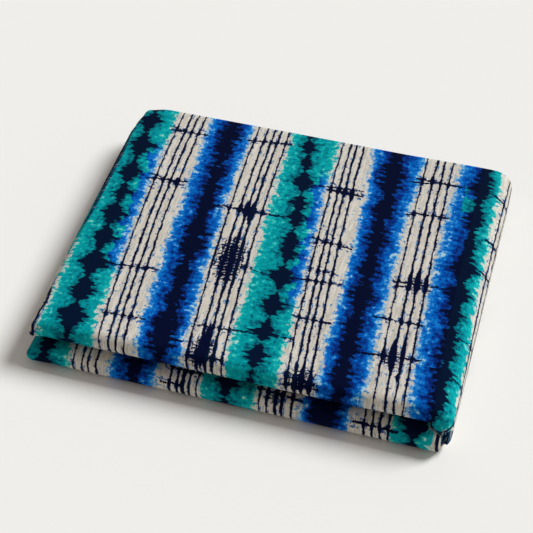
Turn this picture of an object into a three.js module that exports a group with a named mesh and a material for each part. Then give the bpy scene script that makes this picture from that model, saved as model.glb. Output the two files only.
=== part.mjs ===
// A tie-dyed cotton cloth, folded into a neat rectangular stack that lies flat.
//
// Millimetres, +Z up.  The stack's long side runs along X and the origin is at the middle of
// the stack's underside.  The cloth is one sheet, so it is one closed solid, and its layers
// lie a small gap apart.  It is folded in three stages, each one a path that the sheet, or
// the strip folded so far, follows:
//   1. the ends: the left and right ends of the cloth are turned in, to meet at the middle
//   2. the length: that two-layer strip is folded in half twice, with its main fold in front
//   3. the closing fold: the eight-layer strip is closed like a book, with its fold at right
// Every path is walked with the outside of the stack on its left.

import * as THREE from 'three';

// ---- Driving dimensions -------------------------------------------------------------

const foldedWidth = 346;
const foldedDepth = 290;
const clothThickness = 1.7;
const layerGap = 0.75;

// ---- Sizes worked out from them ------------------------------------------------------

const layerPitch = clothThickness + layerGap;
const halfThickness = clothThickness / 2;

// The eight-layer strip reaches this far to each side of its middle.
const stripReach = 4 * layerPitch - layerGap / 2;

// The closing fold bends the strip about its middle, and keeps a hollow at its heart.
const closingHollow = 1.1;
const closingRadius = stripReach + closingHollow;
const closingArc = closingRadius * Math.PI / 2;
const stackHeight = 2 * (closingRadius + stripReach);
const closingCentreX = foldedWidth / 2 - closingRadius - stripReach;
const closingCentreZ = stackHeight / 2;

// The strip runs from the turned-in end over the upper half, round the closing fold and
// back along the lower half.  This is its length to each side of the closing fold's crown.
const stripHalfLength = closingCentreX + foldedWidth / 2 + closingArc;
const endTurnRadius = layerPitch / 2;
const endTurnStart = stripHalfLength - endTurnRadius - halfThickness;

// The lower half stands out in front of the upper one.
const lowerHalfStep = 11;

// The lengthwise folds: the front wrap goes round two layers of the strip, and the rear
// turn and the inner front turn each go round none.
const frontWrapRadius = 3 * layerPitch;
const innerTurnRadius = layerPitch;
const frontTurnCentre = -foldedDepth / 2 + lowerHalfStep + stripReach;
const rearTurnCentre = foldedDepth / 2 - 2 * layerPitch + layerGap / 2;
const rawEdgeInset = 3;
const rawEdge = foldedDepth / 2 - rawEdgeInset;

// ---- Unevenness ------------------------------------------------------------------------

// The step in front begins and ends at these shares of the closing fold's lower quarter.
const stepFrom = 0.45;
const stepTo = 0.8;

// The upper half sinks onto the lower one, over this reach left of the closing fold.
const settleReach = 90;
const settledGap = 0.7;

// The turned-in ends are pressed thinner than the rest, and round.
const endPressReach = 26;
const endPress = 0.16;
const endRounding = 4;

// The stack is full in its middle and falls off towards its four sides.
const crownFall = 0.07;

// How far some corners of the stack are drawn in, and over what reach.
const cornerReach = 26;
const corners = [
  { name: 'front left', x: -1, y: -1, drawnIn: 1 },
  { name: 'rear left', x: -1, y: 1, drawnIn: 3.5 },
  { name: 'rear right', x: 1, y: 1, drawnIn: 0.5 },
];

// Low swells of the upper surface, each with its middle, reach and height.
const swells = [
  { name: 'middle', x: -20, y: 20, reach: 130, height: 1.0 },
  { name: 'right front', x: 105, y: -70, reach: 75, height: 0.8 },
  { name: 'left hollow', x: -110, y: -30, reach: 80, height: -0.9 },
  { name: 'rear hollow', x: 70, y: 95, reach: 70, height: -0.8 },
];

// ---- Paths -------------------------------------------------------------------------------

// A path is a table of rows.  A run row goes straight to a place along the path's own axis,
// with its stations closer together towards both ends.  An arc row does so evenly, and a
// turn row is a half turn of the given radius.
function run(to, steps) {
  return { kind: 'run', to, steps };
}

function arc(to, steps) {
  return { kind: 'arc', to, steps };
}

function turn(radius, side, steps) {
  return { kind: 'turn', radius, side, steps };
}

const clockwise = -1;
const anticlockwise = 1;

function walkPath(start, rows) {
  const stations = [start];
  for (const row of rows) {
    const from = stations[stations.length - 1];
    for (let step = 1; step <= row.steps; step++) {
      const share = step / row.steps;
      const station = { ...from };
      if (row.kind === 'turn') {
        station.heading = from.heading + row.side * Math.PI * share;
        const ahead = Math.sin(station.heading) - Math.sin(from.heading);
        const aside = Math.cos(station.heading) - Math.cos(from.heading);
        station.along += row.side * row.radius * ahead;
        station.across -= row.side * row.radius * aside;
      } else {
        const easedShare = (1 - Math.cos(Math.PI * share)) / 2;
        const distance = row.kind === 'run' ? (share + easedShare) / 2 : share;
        station.along += (row.to - from.along) * distance;
      }
      stations.push(station);
    }
  }
  return stations;
}

// The place that lies to the left of a station by an offset.
function besideStation(station, offset) {
  return {
    along: station.along - offset * Math.sin(station.heading),
    across: station.across + offset * Math.cos(station.heading),
  };
}

// Stage 1, across the cloth: from one selvedge, out to the end turn, along the full outer
// layer, round the other end turn and back to the other selvedge.  The stations within the
// closing fold are the same on the flaps as on the outer layer.
const closingSteps = 8;
const closingStepLength = 2 * closingArc / closingSteps;
const straightSteps = 6;
const endTurnSteps = 4;

const endsPath = walkPath(
  { along: -closingStepLength, across: -layerPitch / 2, heading: Math.PI },
  [
    arc(-closingArc, closingSteps / 2 - 1),
    run(-endTurnStart, straightSteps),
    turn(endTurnRadius, clockwise, endTurnSteps),
    run(-closingArc, straightSteps),
    arc(closingArc, closingSteps),
    run(endTurnStart, straightSteps),
    turn(endTurnRadius, clockwise, endTurnSteps),
    run(closingArc, straightSteps),
    arc(closingStepLength, closingSteps / 2 - 1),
  ],
);

// Stage 2, along the cloth: from one raw edge at the rear of the lowest layer, forwards,
// round the front wrap, back over the top layer, round the rear turn, forwards between,
// round the inner front turn, and back to the other raw edge.
const lengthSteps = 5;
const frontWrapSteps = 6;
const innerTurnSteps = 4;

const lengthPath = walkPath(
  { along: rawEdge, across: -3 * layerPitch, heading: Math.PI },
  [
    run(frontTurnCentre, lengthSteps),
    turn(frontWrapRadius, clockwise, frontWrapSteps),
    run(rearTurnCentre, lengthSteps),
    turn(innerTurnRadius, clockwise, innerTurnSteps),
    run(frontTurnCentre, lengthSteps),
    turn(innerTurnRadius, anticlockwise, innerTurnSteps),
    run(rawEdge, lengthSteps),
  ],
);

// ---- Folding and unevenness as moves of every point ------------------------------------------

function smoothShare(value, from, to) {
  const share = THREE.MathUtils.clamp((value - from) / (to - from), 0, 1);
  return share * share * (3 - 2 * share);
}

// Presses and rounds the turned-in ends of the eight-layer strip, before it is closed.
function pressEnds(x, offset) {
  const nearEnd = smoothShare(Math.abs(x), stripHalfLength - endPressReach, stripHalfLength);
  const fromMiddle = offset / stripReach;
  return {
    x: x - Math.sign(x) * endRounding * nearEnd * fromMiddle * fromMiddle,
    offset: offset * (1 - endPress * nearEnd),
  };
}

// Stage 3: the strip runs right along the upper half, round the closing fold, and left
// along the lower half, which steps out in front.
function closeStrip(x, y, offset) {
  const quarter = THREE.MathUtils.clamp(x / closingArc, -1, 1);
  const turned = quarter * Math.PI / 2;
  const beyond = Math.max(Math.abs(x) - closingArc, 0);
  const radius = closingRadius + offset;
  const towardsFront = smoothShare(y, foldedDepth / 2, -foldedDepth / 2);
  return new THREE.Vector3(
    closingCentreX + radius * Math.cos(turned) - beyond,
    y - lowerHalfStep * smoothShare(quarter, stepFrom, stepTo) * towardsFront,
    closingCentreZ - radius * Math.sin(turned),
  );
}

// Sinks the upper half of the closed stack onto its lower half.
function settleUpperHalf(point) {
  const lowerTop = closingCentreZ - closingHollow;
  const upperBottom = closingCentreZ + closingHollow;
  const overLower = smoothShare(point.z, lowerTop, upperBottom);
  const leftOfFold = smoothShare(point.x, closingCentreX, closingCentreX - settleReach);
  point.z -= (2 * closingHollow - settledGap) * overLower * leftOfFold;
}

// Crowns the stack and swells its top.  The underside stays in its plane, because heights
// are only scaled.
function crownStack(point) {
  const fall = (point.x / foldedWidth) ** 2 + (point.y / foldedDepth) ** 2;
  let swell = 0;
  for (const { x, y, reach, height } of swells) {
    const distance = Math.hypot(point.x - x, point.y - y);
    swell += height * (1 - smoothShare(distance, 0, reach));
  }
  point.z *= 1 - crownFall * fall + swell / stackHeight;
}

// Draws the four corners in.
function drawCornersIn(point) {
  const { x, y } = point;
  for (const corner of corners) {
    const fromSideX = foldedWidth / 2 - corner.x * x;
    const fromSideY = foldedDepth / 2 - corner.y * y;
    const nearX = 1 - smoothShare(fromSideX, 0, cornerReach);
    const nearY = 1 - smoothShare(fromSideY, 0, cornerReach);
    point.x -= corner.x * corner.drawnIn * nearX * nearY;
    point.y -= corner.y * corner.drawnIn * nearX * nearY;
  }
}

// ---- The sheet -----------------------------------------------------------------------------

// One point of the sheet: a station across the cloth, one along it, and a face.
function sheetPoint(endsStation, lengthStation, faceOffset) {
  const ends = besideStation(endsStation, faceOffset);
  const length = besideStation(lengthStation, ends.across);
  const pressed = pressEnds(ends.along, length.across);
  const point = closeStrip(pressed.x, length.along, pressed.offset);
  settleUpperHalf(point);
  crownStack(point);
  drawCornersIn(point);
  return point;
}

// The sheet is a closed grid: an outer face, an inner face and the cut edges between them.
function makeFoldedSheet() {
  const columns = endsPath.length;
  const rows = lengthPath.length;
  const faces = [halfThickness, -halfThickness];
  const positions = [];
  for (const faceOffset of faces) {
    for (const lengthStation of lengthPath) {
      for (const endsStation of endsPath) {
        positions.push(...sheetPoint(endsStation, lengthStation, faceOffset).toArray());
      }
    }
  }
  const vertexAt = (face, row, column) => (face * rows + row) * columns + column;
  const triangles = [];
  const addQuad = (a, b, c, d) => triangles.push(a, b, c, a, c, d);

  for (let row = 0; row < rows - 1; row++) {
    for (let column = 0; column < columns - 1; column++) {
      const outer = [
        vertexAt(0, row, column),
        vertexAt(0, row, column + 1),
        vertexAt(0, row + 1, column + 1),
        vertexAt(0, row + 1, column),
      ];
      const inner = outer.map((vertex) => vertex + rows * columns);
      addQuad(...outer);
      addQuad(inner[0], inner[3], inner[2], inner[1]);
    }
  }
  for (let column = 0; column < columns - 1; column++) {
    for (const row of [0, rows - 1]) {
      const edge = [
        vertexAt(0, row, column),
        vertexAt(1, row, column),
        vertexAt(1, row, column + 1),
        vertexAt(0, row, column + 1),
      ];
      addQuad(...(row === 0 ? edge : edge.reverse()));
    }
  }
  for (let row = 0; row < rows - 1; row++) {
    for (const column of [0, columns - 1]) {
      const edge = [
        vertexAt(0, row, column),
        vertexAt(0, row + 1, column),
        vertexAt(1, row + 1, column),
        vertexAt(1, row, column),
      ];
      addQuad(...(column === 0 ? edge : edge.reverse()));
    }
  }
  const geometry = new THREE.BufferGeometry();
  geometry.setAttribute('position', new THREE.Float32BufferAttribute(positions, 3));
  geometry.setIndex(triangles);
  geometry.computeVertexNormals();
  return geometry;
}

// Sets the middle of the stack's underside on the origin.
function centreOnOrigin(geometry) {
  geometry.computeBoundingBox();
  const box = geometry.boundingBox;
  const middleX = (box.min.x + box.max.x) / 2;
  const middleY = (box.min.y + box.max.y) / 2;
  geometry.translate(-middleX, -middleY, -box.min.z);
  return geometry;
}

// ---- The cloth -------------------------------------------------------------------------------

const dyedCotton = new THREE.MeshStandardMaterial({ color: 0x0c5f95, roughness: 0.9, metalness: 0 });

const cloth = new THREE.Mesh(centreOnOrigin(makeFoldedSheet()), dyedCotton);
cloth.name = 'cloth';

const foldedCloth = new THREE.Group();
foldedCloth.add(cloth);

export default foldedCloth;
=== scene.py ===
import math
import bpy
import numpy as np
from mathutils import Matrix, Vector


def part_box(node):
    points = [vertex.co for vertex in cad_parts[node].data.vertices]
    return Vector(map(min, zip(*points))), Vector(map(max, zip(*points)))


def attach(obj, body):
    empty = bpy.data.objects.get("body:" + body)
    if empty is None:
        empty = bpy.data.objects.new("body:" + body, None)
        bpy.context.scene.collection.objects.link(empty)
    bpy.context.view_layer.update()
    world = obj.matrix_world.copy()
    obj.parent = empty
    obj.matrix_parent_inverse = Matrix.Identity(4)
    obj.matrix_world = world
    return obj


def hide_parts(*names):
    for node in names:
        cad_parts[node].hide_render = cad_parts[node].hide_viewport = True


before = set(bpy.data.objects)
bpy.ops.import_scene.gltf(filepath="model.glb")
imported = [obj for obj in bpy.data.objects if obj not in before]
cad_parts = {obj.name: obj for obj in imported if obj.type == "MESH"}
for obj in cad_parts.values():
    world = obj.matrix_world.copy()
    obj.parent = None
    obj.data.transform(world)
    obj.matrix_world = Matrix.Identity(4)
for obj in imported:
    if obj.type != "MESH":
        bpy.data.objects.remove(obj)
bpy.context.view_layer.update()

# The looks of a folded adire cloth: one thin sheet in the folds of its solid, with a tie-dyed
# stripe print laid out on the flat cloth, so that it runs on over the folds. Only on the band's
# front beside the closing fold is it laid straight down instead.
# Lengths are in millimetres until a mesh, lamp or camera is made from them.

METRE = 0.001
PLAN = "ClothPlan"

# ---- Sizes, worked out from the solid ----

low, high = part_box("cloth")
FOLDED_WIDTH = round((high.x - low.x) / METRE)
FOLDED_DEPTH = round((high.y - low.y) / METRE)
LAYER_PITCH = 2.45
CLOTH_THICKNESS = 1.2
SOLID_GAP = 0.75

STRIP_REACH = 4 * LAYER_PITCH - SOLID_GAP / 2
CLOSING_HOLLOW = 1.1
CLOSING_RADIUS = STRIP_REACH + CLOSING_HOLLOW
CLOSING_ARC = CLOSING_RADIUS * math.pi / 2
OUTER_STRETCH = (CLOSING_RADIUS + STRIP_REACH) / CLOSING_RADIUS
STACK_HEIGHT = 2 * (CLOSING_RADIUS + STRIP_REACH)
CLOSING_X = FOLDED_WIDTH / 2 - CLOSING_RADIUS - STRIP_REACH
CLOSING_Z = STACK_HEIGHT / 2
STRIP_HALF_LENGTH = CLOSING_X + FOLDED_WIDTH / 2 + CLOSING_ARC
END_TURN_RADIUS = LAYER_PITCH / 2
END_TURN_START = STRIP_HALF_LENGTH - END_TURN_RADIUS - CLOTH_THICKNESS / 2
LOWER_HALF_STEP = 11
FRONT_WRAP_RADIUS = 3 * LAYER_PITCH
INNER_TURN_RADIUS = LAYER_PITCH
FRONT_TURN = -FOLDED_DEPTH / 2 + LOWER_HALF_STEP + STRIP_REACH
REAR_TURN = FOLDED_DEPTH / 2 - 2 * LAYER_PITCH + SOLID_GAP / 2
RAW_EDGE_INSET = 3
RAW_EDGE = FOLDED_DEPTH / 2 - RAW_EDGE_INSET


# ---- Folding paths ----

def run(to, steps):
    return {"kind": "run", "to": to, "steps": steps}


def turn(radius, side, steps):
    return {"kind": "turn", "radius": radius, "side": side, "steps": steps}


CLOCKWISE = -1
ANTICLOCKWISE = 1


def walk_path(start, rows):
    """The stations of a path of straight runs and half turns: along, across, heading, length."""
    along, across, heading, length = start[0], start[1], start[2], 0.0
    stations = [(along, across, heading, length)]
    for row in rows:
        for step in range(1, row["steps"] + 1):
            share = step / row["steps"]
            if row["kind"] == "run":
                reach = (row["to"] - along) * share
                stations.append((along + reach, across, heading, length + abs(reach)))
                continue
            angle = heading + row["side"] * math.pi * share
            radius = row["side"] * row["radius"]
            stations.append((
                along + radius * (math.sin(angle) - math.sin(heading)),
                across - radius * (math.cos(angle) - math.cos(heading)),
                angle,
                length + row["radius"] * math.pi * share,
            ))
        along, across, heading, length = stations[-1]
    along, across, heading, length = np.array(stations).T
    return {"along": along, "across": across, "heading": heading, "length": length}


CLOSING_STEPS = 44
CLOSING_STEP_LENGTH = 2 * CLOSING_ARC / CLOSING_STEPS
UPPER_STEPS = 92
LOWER_STEPS = 66
FLAP_STEPS = 16
END_TURN_STEPS = 8

ENDS_ROWS = [
    run(-CLOSING_ARC, CLOSING_STEPS // 2 - 1),
    run(-END_TURN_START, FLAP_STEPS),
    turn(END_TURN_RADIUS, CLOCKWISE, END_TURN_STEPS),
    run(-CLOSING_ARC, UPPER_STEPS),
    run(CLOSING_ARC, CLOSING_STEPS),
    run(END_TURN_START, LOWER_STEPS),
    turn(END_TURN_RADIUS, CLOCKWISE, END_TURN_STEPS),
    run(CLOSING_ARC, FLAP_STEPS),
    run(CLOSING_STEP_LENGTH, CLOSING_STEPS // 2 - 1),
]
ENDS_PATH = walk_path((-CLOSING_STEP_LENGTH, -LAYER_PITCH / 2, math.pi), ENDS_ROWS)

TOP_STEPS = 76
HIDDEN_STEPS = 10
FRONT_WRAP_STEPS = 26
INNER_TURN_STEPS = 8

LENGTH_ROWS = [
    run(FRONT_TURN, HIDDEN_STEPS),
    turn(FRONT_WRAP_RADIUS, CLOCKWISE, FRONT_WRAP_STEPS),
    run(REAR_TURN, TOP_STEPS),
    turn(INNER_TURN_RADIUS, CLOCKWISE, INNER_TURN_STEPS),
    run(FRONT_TURN, HIDDEN_STEPS),
    turn(INNER_TURN_RADIUS, ANTICLOCKWISE, INNER_TURN_STEPS),
    run(RAW_EDGE, HIDDEN_STEPS),
]
LENGTH_PATH = walk_path((RAW_EDGE, -3 * LAYER_PITCH, math.pi), LENGTH_ROWS)


def plan_across():
    """Where each station across lies on the flat cloth: its X on the top of the stack."""
    outer_start = (CLOSING_STEPS // 2 - 1) + FLAP_STEPS + END_TURN_STEPS
    outer_end = outer_start + UPPER_STEPS + CLOSING_STEPS + LOWER_STEPS
    along, length = ENDS_PATH["along"], ENDS_PATH["length"]
    in_fold = np.clip(along, -CLOSING_ARC, CLOSING_ARC)
    plan = CLOSING_X + CLOSING_ARC + along + (OUTER_STRETCH - 1) * (in_fold + CLOSING_ARC)
    before, after = slice(0, outer_start), slice(outer_end + 1, None)
    plan[before] = plan[outer_start] - (length[outer_start] - length[before])
    plan[after] = plan[outer_end] + (length[after] - length[outer_end])
    return plan


def plan_along():
    """Where each station along lies on the flat cloth: its Y on the top of the stack."""
    top_start = HIDDEN_STEPS + FRONT_WRAP_STEPS
    length = LENGTH_PATH["length"]
    plan = FRONT_TURN + length - length[top_start]
    stretch = (FRONT_WRAP_RADIUS + LAYER_PITCH / 2) / FRONT_WRAP_RADIUS
    wrap = slice(HIDDEN_STEPS, top_start)
    plan[wrap] = FRONT_TURN + stretch * (length[wrap] - length[top_start])
    plan[:HIDDEN_STEPS] += plan[HIDDEN_STEPS] - (FRONT_TURN + length[HIDDEN_STEPS] - length[top_start])
    return plan


# ---- Folding and unevenness as moves of every point ----

def smooth_share(value, start, end):
    share = np.clip((value - start) / (end - start), 0, 1)
    return share * share * (3 - 2 * share)


SETTLE_REACH = 90
SETTLED_GAP = 0.7
END_PRESS_REACH = 26
END_PRESS = 0.16
END_ROUNDING = 4
CROWN_FALL = 0.07
CORNER_REACH = 26

# How far the corners of the upper and the lower half are drawn in; below 0 they stand out.
CORNERS = [
    {"name": "front left", "x": -1, "y": -1, "upper": 0.2, "lower": -0.8},
    {"name": "rear left", "x": -1, "y": 1, "upper": 3.5, "lower": 3.5},
    {"name": "rear right", "x": 1, "y": 1, "upper": 0.5, "lower": 0.5},
]

# The closing fold: how square its upper and lower quarters lie, 2 being round.
UPPER_SQUARENESS = 2.3
LOWER_SQUARENESS = 3.4

# The lower half's front runs on as one rounded band, and ends beside the closing fold's own
# end, which stays back with a crevice between them.
BAND_END = FOLDED_WIDTH / 2 - 8.5
BAND_ROUNDING = 3
BAND_LEDGE = 0.9
BAND_REACH = 60
FOLD_END_LEAN = 8
CREVICE_HALF_WIDTH = 1.8
CREVICE_DEPTH = 17
CREVICE_REACH = 22

# The left ends: the upper one stands out low down, the lower one high up, over a round foot.
LEFT_END_REACH = 14
UPPER_END_BULGE = 24
LOWER_END_BULGE = 28
LOWER_END_FOOT = 2.0
END_SAG = 4.5
LEFT_CORNER_ROUNDING = 4
STANDING_START = 0.2
STANDING_END = 0.5

SWELLS = [
    {"name": "middle", "x": -20, "y": 20, "reach": 130, "height": 1.0},
    {"name": "right front", "x": 105, "y": -70, "reach": 75, "height": 0.8},
    {"name": "left hollow", "x": -110, "y": -30, "reach": 80, "height": -0.9},
    {"name": "rear hollow", "x": 70, "y": 95, "reach": 70, "height": -0.8},
]


def press_ends(x, offset):
    """Presses and rounds the turned-in ends of the strip."""
    near_end = smooth_share(np.abs(x), STRIP_HALF_LENGTH - END_PRESS_REACH, STRIP_HALF_LENGTH)
    from_middle = offset / STRIP_REACH
    x = x - np.sign(x) * END_ROUNDING * near_end * from_middle ** 2
    return x, offset * (1 - END_PRESS * near_end)


def close_strip(x, y, offset):
    """Closes the strip round the right-hand fold."""
    turned = np.clip(x / CLOSING_ARC, -1, 1) * math.pi / 2
    beyond = np.maximum(np.abs(x) - CLOSING_ARC, 0)
    square = np.where(turned < 0, UPPER_SQUARENESS, LOWER_SQUARENESS)
    roundness = (np.abs(np.cos(turned)) ** square + np.abs(np.sin(turned)) ** square) ** (1 / square)
    radius = (CLOSING_RADIUS + offset) / roundness
    return CLOSING_X + radius * np.cos(turned) - beyond, y, CLOSING_Z - radius * np.sin(turned)


def band_front(offset):
    """How far the rounded front of a strip stands out at an offset from its middle."""
    return np.sqrt(np.maximum(STRIP_REACH ** 2 - offset ** 2, 0))


def band_shares(x, z):
    """How far a point belongs to the lower half, and to the band in front of it."""
    lower = smooth_share(z, CLOSING_Z, CLOSING_Z - BAND_LEDGE)
    return lower, lower * smooth_share(x, BAND_END + BAND_ROUNDING, BAND_END)


def plan_points(x, y, z):
    """Each point's place on the flat cloth; on the band's front it runs straight down."""
    across, along = np.meshgrid(plan_across(), plan_along())
    straight = CLOSING_X + 2 * CLOSING_ARC * OUTER_STRETCH + CLOSING_X - x
    on_band = band_shares(x, z)[1] * smooth_share(y, FRONT_TURN + LAYER_PITCH, FRONT_TURN)
    return np.stack([across + (straight - across) * on_band * (x > CLOSING_X), along], -1)


def step_lower_half(x, y, z, offset):
    """Steps the lower half out in front, up to a crevice beside the closing fold's own end."""
    lower, band = band_shares(x, z)
    towards_front = smooth_share(y, FOLDED_DEPTH / 2, -FOLDED_DEPTH / 2)
    in_fold = smooth_share(x, CLOSING_X, BAND_END)
    lean = FOLD_END_LEAN * in_fold * smooth_share(z, CLOSING_Z + STRIP_REACH, CLOSING_Z - STRIP_REACH)
    step = lean + (LOWER_HALF_STEP - lean) * band
    straightened = band_front(offset) - band_front(CLOSING_Z - z - CLOSING_RADIUS)
    near_band = smooth_share(y, BAND_REACH - FOLDED_DEPTH / 2, CREVICE_REACH - FOLDED_DEPTH / 2)
    from_crevice = (x - BAND_END - BAND_ROUNDING) / CREVICE_HALF_WIDTH
    near_front = smooth_share(y, CREVICE_REACH - FOLDED_DEPTH / 2, -FOLDED_DEPTH / 2)
    crevice = CREVICE_DEPTH * np.exp(-from_crevice ** 2) * near_front * lower
    return y - step * towards_front + straightened * band * near_band + crevice


def shape_left_ends(x, z):
    """Lets the turned-in ends stand out on the left, the upper one sagging over the lower."""
    near_end = 1 - smooth_share(x + FOLDED_WIDTH / 2, 0, LEFT_END_REACH)
    upper = np.clip(z / CLOSING_Z - 1, 0, 1)
    lower = np.clip(z / CLOSING_Z, 0, 1)
    upper_bulge = UPPER_END_BULGE * upper * (1 - upper) ** 2
    lower_bulge = LOWER_END_BULGE * lower ** 3 * (1 - lower) - LOWER_END_FOOT * (1 - lower) ** 3
    sag = END_SAG * near_end * (1 - (z / CLOSING_Z - 1) ** 2) ** 2
    return x - near_end * np.where(z > CLOSING_Z, upper_bulge, lower_bulge), z - sag


def round_left_corners(x, y, z):
    """Rounds the front left corners, but not low in the upper half, where the end stands out."""
    near_end = 1 - smooth_share(x + FOLDED_WIDTH / 2, 0, LEFT_END_REACH)
    from_turn = np.clip((FRONT_TURN - y) / STRIP_REACH, 0, 1)
    upper = z / CLOSING_Z - 1
    rounded = np.where(upper > 0, smooth_share(upper, STANDING_START, STANDING_END), 1)
    return x + LEFT_CORNER_ROUNDING * near_end * from_turn ** 3 * rounded


def settle_upper_half(x, z):
    over_lower = smooth_share(z, CLOSING_Z - CLOSING_HOLLOW, CLOSING_Z + CLOSING_HOLLOW)
    left_of_fold = smooth_share(x, CLOSING_X, CLOSING_X - SETTLE_REACH)
    return z - (2 * CLOSING_HOLLOW - SETTLED_GAP) * over_lower * left_of_fold


def crown_stack(x, y, z):
    fall = (x / FOLDED_WIDTH) ** 2 + (y / FOLDED_DEPTH) ** 2
    swell = np.zeros_like(x)
    for row in SWELLS:
        distance = np.hypot(x - row["x"], y - row["y"])
        swell += row["height"] * (1 - smooth_share(distance, 0, row["reach"]))
    return z * (1 - CROWN_FALL * fall + swell / STACK_HEIGHT)


def draw_corners_in(x, y, z):
    moved_x, moved_y = x.copy(), y.copy()
    for row in CORNERS:
        near_x = 1 - smooth_share(FOLDED_WIDTH / 2 - row["x"] * x, 0, CORNER_REACH)
        near_y = 1 - smooth_share(FOLDED_DEPTH / 2 - row["y"] * y, 0, CORNER_REACH)
        drawn_in = np.where(z > CLOSING_Z, row["upper"], row["lower"]) * near_x * near_y
        moved_x -= row["x"] * drawn_in
        moved_y -= row["y"] * drawn_in
    return moved_x, moved_y


def beside(path, offset):
    """Points to the left of a path's stations by an offset."""
    along = path["along"] - offset * np.sin(path["heading"])
    across = path["across"] + offset * np.cos(path["heading"])
    return along, across


def face_points(face_offset):
    """One face of the sheet: its points, a row a station along, and their places on the plan."""
    ends_along, ends_across = beside(ENDS_PATH, face_offset)
    rows = {key: LENGTH_PATH[key][:, None] for key in LENGTH_PATH}
    length_along, length_across = beside(rows, ends_across[None, :])
    x = np.broadcast_to(ends_along[None, :], length_along.shape)
    x, offset = press_ends(x, length_across)
    x, y, z = close_strip(x, length_along, offset)
    plan = plan_points(x, y, z)
    x = round_left_corners(x, y, z)
    y = step_lower_half(x, y, z, offset)
    x, y = draw_corners_in(x, y, z)
    z = settle_upper_half(x, z)
    x, z = shape_left_ends(x, z)
    z = crown_stack(x, y, z)
    return np.stack([x, y, z], axis=-1), plan.reshape(-1, 2)


# ---- The sheet as a mesh ----

SHARP_ANGLE = 50


def grid_quads(first, rows, columns):
    """The quads of a grid of vertices, facing the reader when rows go up and columns right."""
    index = first + np.arange(rows * columns).reshape(rows, columns)
    return np.stack([index[:-1, :-1], index[:-1, 1:], index[1:, 1:], index[1:, :-1]], -1).reshape(-1, 4)


def rim_quads(outer_line, inner_line):
    """The quads that join the outer face's rim to the inner face's."""
    return np.stack([outer_line[:-1], inner_line[:-1], inner_line[1:], outer_line[1:]], -1)


def add_object(name, data):
    """A new object in the scene."""
    thing = bpy.data.objects.new(name, data)
    bpy.context.scene.collection.objects.link(thing)
    return thing


def make_cloth():
    outer, outer_plan = face_points(CLOTH_THICKNESS / 2)
    inner, inner_plan = face_points(-CLOTH_THICKNESS / 2)
    rows, columns = outer.shape[:2]
    count = rows * columns
    points = np.concatenate([outer.reshape(-1, 3), inner.reshape(-1, 3)])
    points[:, 2] -= points[:, 2].min()
    index = np.arange(count).reshape(rows, columns)
    quads = np.concatenate([
        grid_quads(0, rows, columns),
        grid_quads(count, rows, columns)[:, ::-1],
        rim_quads(index[0], index[0] + count),
        rim_quads(index[-1], index[-1] + count)[:, ::-1],
        rim_quads(index[:, 0], index[:, 0] + count)[:, ::-1],
        rim_quads(index[:, -1], index[:, -1] + count),
    ])
    mesh = bpy.data.meshes.new("folded_cloth")
    mesh.from_pydata(points * METRE, [], quads.tolist())
    plan = np.concatenate([outer_plan, inner_plan]) * METRE
    corner_vertices = np.empty(len(mesh.loops), np.int32)
    mesh.loops.foreach_get("vertex_index", corner_vertices)
    layer = mesh.uv_layers.new(name=PLAN)
    layer.data.foreach_set("uv", plan[corner_vertices].astype(np.float32).ravel())
    mesh.shade_smooth()
    mesh.set_sharp_from_angle(angle=math.radians(SHARP_ANGLE))
    return add_object("folded_cloth", mesh)


# ---- Arithmetic on the print's fields ----

# These bring a noise, which gathers round 0.5, and the distance in a cell to about -1 to 1.
NOISE_SPREAD = 5.6
CELL_FALL = -2.4
CELL_MIDDLE = 1.05


class Field:
    """A number that varies over the cloth, as an output of the print's node tree."""

    def __init__(self, tree, output):
        self.tree = tree
        self.output = output

    def math(self, operation, *others):
        node = self.tree.nodes.new("ShaderNodeMath")
        node.operation = operation
        for socket, value in zip(node.inputs, (self, *others)):
            plug(self.tree, value, socket)
        return Field(self.tree, node.outputs[0])

    def __add__(self, other):
        return self.math("ADD", other)

    def __sub__(self, other):
        return self.math("SUBTRACT", other)

    def __mul__(self, other):
        return self.math("MULTIPLY", other)

    def __truediv__(self, other):
        return self.math("DIVIDE", other)

    def __abs__(self):
        return self.math("ABSOLUTE")

    def scaled(self, factor, plus):
        return self.math("MULTIPLY_ADD", factor, plus)

    def upto(self, other):
        return self.math("MINIMUM", other)

    def atleast(self, other):
        return self.math("MAXIMUM", other)

    def above(self, other):
        return self.math("GREATER_THAN", other)

    def zigzag(self, reach):
        return self.math("PINGPONG", reach)

    def rising(self, start, end):
        """0 at start, 1 at end, and smooth between them."""
        node = self.tree.nodes.new("ShaderNodeMapRange")
        node.interpolation_type = "SMOOTHSTEP"
        node.clamp = True
        plug(self.tree, self, node.inputs["Value"])
        plug(self.tree, start, node.inputs["From Min"])
        plug(self.tree, end, node.inputs["From Max"])
        return Field(self.tree, node.outputs["Result"])

    def eased(self, name):
        """Rises over the named soft change."""
        return self.rising(*EDGES[name])


def plug(tree, value, socket):
    """Joins a field to a socket, or sets the socket to a plain value."""
    if isinstance(value, Field):
        tree.links.new(value.output, socket)
    else:
        socket.default_value = value


def sum_of(fields):
    total = fields[0]
    for field in fields[1:]:
        total = total + field
    return total


def deepest_of(fields):
    """The greatest of some depths."""
    deepest = fields[0]
    for field in fields[1:]:
        deepest = deepest.atleast(field)
    return deepest


def blend_number(first, second, share):
    return (second - first) * share + first


def placed(tree, kind, *place):
    """A texture node that is read at a place."""
    joined = tree.nodes.new("ShaderNodeCombineXYZ")
    for value, socket in zip(place, joined.inputs):
        plug(tree, value, socket)
    node = tree.nodes.new(kind)
    node.inputs["Scale"].default_value = 1.0
    tree.links.new(joined.outputs[0], node.inputs["Vector"])
    return node


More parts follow.
